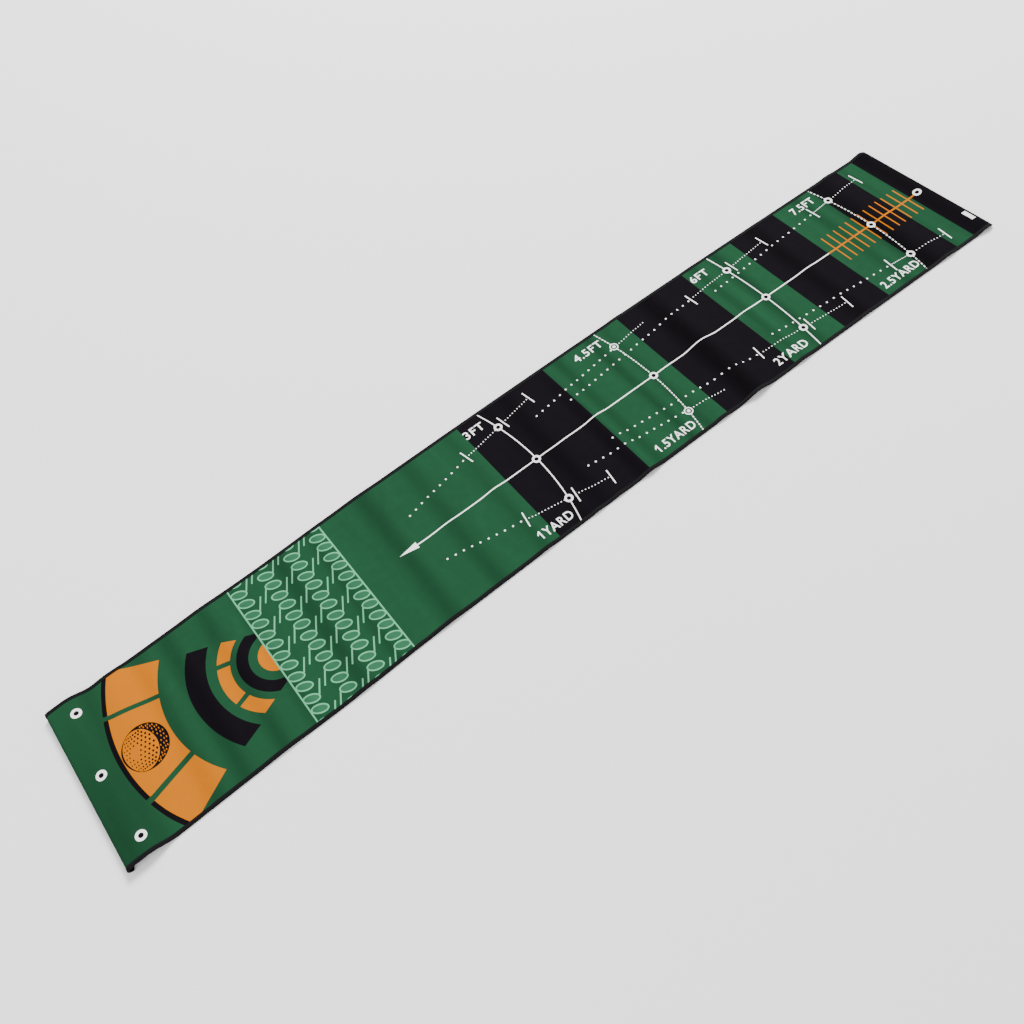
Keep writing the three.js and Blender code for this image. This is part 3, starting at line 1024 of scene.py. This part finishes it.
def end_tape(name, end, sign):
    rings, uvs = [], []
    for t in np.linspace(-1, 1, 61):
        ring = [
            (sign * (end.end - inset), t * (HALF_WIDTH - inset), height)
            for inset, height in TAPE_SECTION
        ]
        rings.append(ring)
        uvs.append([(t * HALF_WIDTH, a) for a in around])
    return sweep(name, rings, uvs, [TAPE])


tapes = {}
for side_name, side in (("left", 1), ("right", -1)):
    tapes[f"{side_name}_near"] = edge_tape(
        f"edge_tape_{side_name}_target_half", -NEAR.end, SEAM_X, side
    )
    tapes[f"{side_name}_far"] = edge_tape(
        f"edge_tape_{side_name}_far_half", SEAM_X, FAR.end, side
    )
near_end_tape = end_tape("end_tape_target_end", NEAR, -1)
far_end_tape = end_tape("end_tape_far_end", FAR, 1)

# Stitches: one small thread bar for each, dipping into the cloth at both ends. Each ring
# of a bar has its share of the length, how far it is lifted and how thick it is.
STITCH_LONG, STITCH_PITCH, STITCH_SLANT, THREAD_R = 3.4, 4.3, 0.35, 0.42
STITCH_RINGS = [
    (-0.5, -0.30, 0.35),
    (-0.32, 0.06, 0.9),
    (0.0, 0.14, 1.0),
    (0.32, 0.06, 0.9),
    (0.5, -0.30, 0.35),
]


def stitch_row(name, start, stop, height, material=THREAD):
    """Stitches from one sheet place to another, on a surface at that height."""
    (x0, y0), (x1, y1) = start, stop
    length = math.hypot(x1 - x0, y1 - y0)
    ux, uy = (x1 - x0) / length, (y1 - y0) / length
    points, faces, sides = [], [], 6
    for k in range(int(length / STITCH_PITCH)):
        middle = (k + 0.5) * STITCH_PITCH
        first = len(points)
        for share, lift, girth in STITCH_RINGS:
            along = middle + share * STITCH_LONG
            for j in range(sides):
                a = math.tau * j / sides
                aside = THREAD_R * girth * math.cos(a) + share * STITCH_SLANT
                up = height + lift + THREAD_R * girth * 0.7 * (math.sin(a) + 0.4)
                points.append((x0 + ux * along - uy * aside, y0 + uy * along + ux * aside, up))
        for i in range(len(STITCH_RINGS) - 1):
            for j in range(sides):
                a, b = first + i * sides + j, first + i * sides + (j + 1) % sides
                faces.append((a, b, b + sides, a + sides))
        last = first + (len(STITCH_RINGS) - 1) * sides
        faces.append(tuple(range(first + sides - 1, first - 1, -1)))
        faces.append(tuple(range(last, last + sides)))
    return face_out(add_piece(name, points, faces, [material], sharp_deg=80))


STITCH_BED = TAPE_TOP - 0.28
stitches = {}
for side_name, side in (("left", 1), ("right", -1)):
    y = side * (HALF_WIDTH - STITCH_INSET)
    stitches[f"{side_name}_near"] = stitch_row(
        f"edge_stitches_{side_name}_target_half",
        (-(NEAR.end - STITCH_INSET - 2), y),
        (SEAM_X, y),
        STITCH_BED,
    )
    stitches[f"{side_name}_far"] = stitch_row(
        f"edge_stitches_{side_name}_far_half",
        (SEAM_X, y),
        (FAR.end - STITCH_INSET - 2, y),
        STITCH_BED,
    )
END_ROW_HALF = INNER_HALF - STITCH_INSET + 6


def end_stitches(name, end, sign):
    x = sign * (end.end - STITCH_INSET)
    return stitch_row(name, (x, -END_ROW_HALF), (x, END_ROW_HALF), STITCH_BED)


near_end_stitches = end_stitches("end_stitches_target_end", NEAR, -1)
far_end_stitches = end_stitches("end_stitches_far_end", FAR, 1)

# Label: a plain satin strip, sewn down along its far side, with a little air under the
# rest. The pull of the far end draws it out to its laid width.
LABEL_LONG, LABEL_WIDE, LABEL_LAID_WIDE, LABEL_THICK = 41.0, 13.5, 14.8, 0.3
LABEL_Y, LABEL_SEAM_INSET, LABEL_SEAM_LIFT = -180.0, 3.0, 0.35
LABEL_NX, LABEL_NY = 10, 22
label_end = FAR.end - TAPE_WIDE - 5.0
label_points, label_faces = [], []
for height in (LABEL_THICK, 0.0):
    for i in range(LABEL_NX + 1):
        for j in range(LABEL_NY + 1):
            u, v = i / LABEL_NX, j / LABEL_NY
            free = (1 - u) ** 2
            lift = 0.10 + 1.3 * free * (0.35 + 0.65 * math.sin(math.pi * v * 0.9 + 0.5) ** 2)
            x = label_end - LABEL_WIDE * (1 - u)
            y = LABEL_Y - LABEL_LONG / 2 + LABEL_LONG * v + 0.5 * free
            label_points.append((x, y, FABRIC[1] + lift + height))
row_size = LABEL_NY + 1
under = (LABEL_NX + 1) * row_size
for i in range(LABEL_NX):
    for j in range(LABEL_NY):
        a = i * row_size + j
        quad = (a, a + row_size, a + row_size + 1, a + 1)
        label_faces += [quad, tuple(under + k for k in reversed(quad))]
directed = {e for f in label_faces for e in zip(f, f[1:] + f[:1])}
for a, b in sorted(e for e in directed if (e[1], e[0]) not in directed and max(e) < under):
    label_faces.append((b, a, a + under, b + under))
label = face_out(add_piece("label", label_points, label_faces, [LABEL]))
label_stitches = stitch_row(
    "label_stitches",
    (label_end - LABEL_SEAM_INSET, LABEL_Y - LABEL_LONG / 2 + LABEL_SEAM_INSET),
    (label_end - LABEL_SEAM_INSET, LABEL_Y + LABEL_LONG / 2 - LABEL_SEAM_INSET),
    FABRIC[1] + LABEL_SEAM_LIFT,
    PALE_THREAD,
)

# ---------------------------------------------------------------------------
# Each piece is set in place and the CAD parts it stands for are hidden; the end tapes, their
# stitches and the label ride on the bodies of the end thirds.


def fold_near(obj):
    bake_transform(obj)


def fold_far(obj):
    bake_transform(obj)


def cut_nodes(third, layer):
    return [f"{third}_{run}{layer}" for run in ("", "rise_", "curl_")]


NEAR_LONG = (NEAR.end + SEAM_X) * MM
FAR_LONG = (FAR.end - SEAM_X) * MM

for obj, fold, nodes, slot, long in (
    (fabric_near, fold_near, cut_nodes("near", "top_fabric"), "pile_fabric", NEAR_LONG),
    (fabric_far, fold_far, cut_nodes("far", "top_fabric"), "pile_fabric", FAR_LONG),
    (backing_near, fold_near, cut_nodes("near", "backing"), "backing", NEAR_LONG),
    (backing_far, fold_far, cut_nodes("far", "backing"), "backing", FAR_LONG),
):
    fold(obj)
    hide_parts(*nodes)
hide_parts("middle_top_fabric")
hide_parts("middle_backing")

for obj, fold, node in (
    (foam_near, fold_near, "near_foam_core"),
    (foam_far, fold_far, "far_foam_core"),
):
    fold(obj)
    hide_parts(node)
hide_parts("middle_foam_core")

for half, fold, third, long in (
    ("near", fold_near, "near", NEAR_LONG),
    ("far", fold_far, "far", FAR_LONG),
):
    for side_name in ("left", "right"):
        tape, row = tapes[f"{side_name}_{half}"], stitches[f"{side_name}_{half}"]
        fold(tape)
        fold(row)
        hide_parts(*cut_nodes(third, f"edge_tape_{side_name}"))
        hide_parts(f"{third}_edge_stitching_{side_name}")
        if half == "far":
            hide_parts(f"middle_edge_tape_{side_name}")
            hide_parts(f"middle_edge_stitching_{side_name}")
        fabric = fabric_near if half == "near" else fabric_far

for tape, row, third, fabric in (
    (near_end_tape, near_end_stitches, "near", fabric_near),
    (far_end_tape, far_end_stitches, "far", fabric_far),
):
    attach(tape, f"{third}_third")
    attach(row, f"{third}_third")
    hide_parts(f"{third}_end_tape")
    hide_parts(f"{third}_end_stitching")

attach(label, "far_third")
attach(label_stitches, "far_third")
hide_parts("far_label")
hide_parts("far_label_stitching")

# ---------------------------------------------------------------------------
# Floor, light and camera.

FLOOR_HALF = 9.0
floor_corners = [(x * FLOOR_HALF, y * FLOOR_HALF, 0) for x, y in rectangle(-1, 1, -1, 1)]
floor_mesh = bpy.data.meshes.new("floor")
floor_mesh.from_pydata(floor_corners, [], [(0, 1, 2, 3)])
floor = bpy.data.objects.new("floor", floor_mesh)
bpy.context.scene.collection.objects.link(floor)
paint = bpy.data.materials.new("floor")
paint.use_nodes = True
paint.node_tree.nodes["Principled BSDF"].inputs["Base Color"].default_value = (0.93, 0.93, 0.93, 1)
paint.node_tree.nodes["Principled BSDF"].inputs["Roughness"].default_value = 0.9
floor_mesh.materials.append(paint)

world = bpy.data.worlds.new("studio")
bpy.context.scene.world = world
world.use_nodes = True
world.node_tree.nodes["Background"].inputs["Color"].default_value = (1, 1, 1, 1)
world.node_tree.nodes["Background"].inputs["Strength"].default_value = 0.85


def softbox(name, place, aim, size, power):
    light = bpy.data.lights.new(name, "AREA")
    light.shape = "RECTANGLE"
    light.size, light.size_y = size
    light.energy = power
    lamp = bpy.data.objects.new(name, light)
    lamp.location = place
    lamp.rotation_euler = (Vector(aim) - Vector(place)).to_track_quat("-Z", "Y").to_euler()
    bpy.context.scene.collection.objects.link(lamp)


softbox("key", (4.8, 5.6, 7.8), (0, 0, 0), (4.5, 4.5), 2350)
softbox("fill", (-4.0, -1.5, 3.5), (-1.0, 0, 0), (3.0, 3.0), 110)

camera_data = bpy.data.cameras.new("camera")
camera_data.sensor_width = 36
camera_data.lens = 34.62
camera_data.clip_start, camera_data.clip_end = 0.05, 60
camera = bpy.data.objects.new("camera", camera_data)
camera.location = (-0.8878, -1.3726, 2.3810)
camera.rotation_euler = Euler([math.radians(a) for a in (30.754, 6.537, -37.870)])
bpy.context.scene.collection.objects.link(camera)
bpy.context.scene.camera = camera
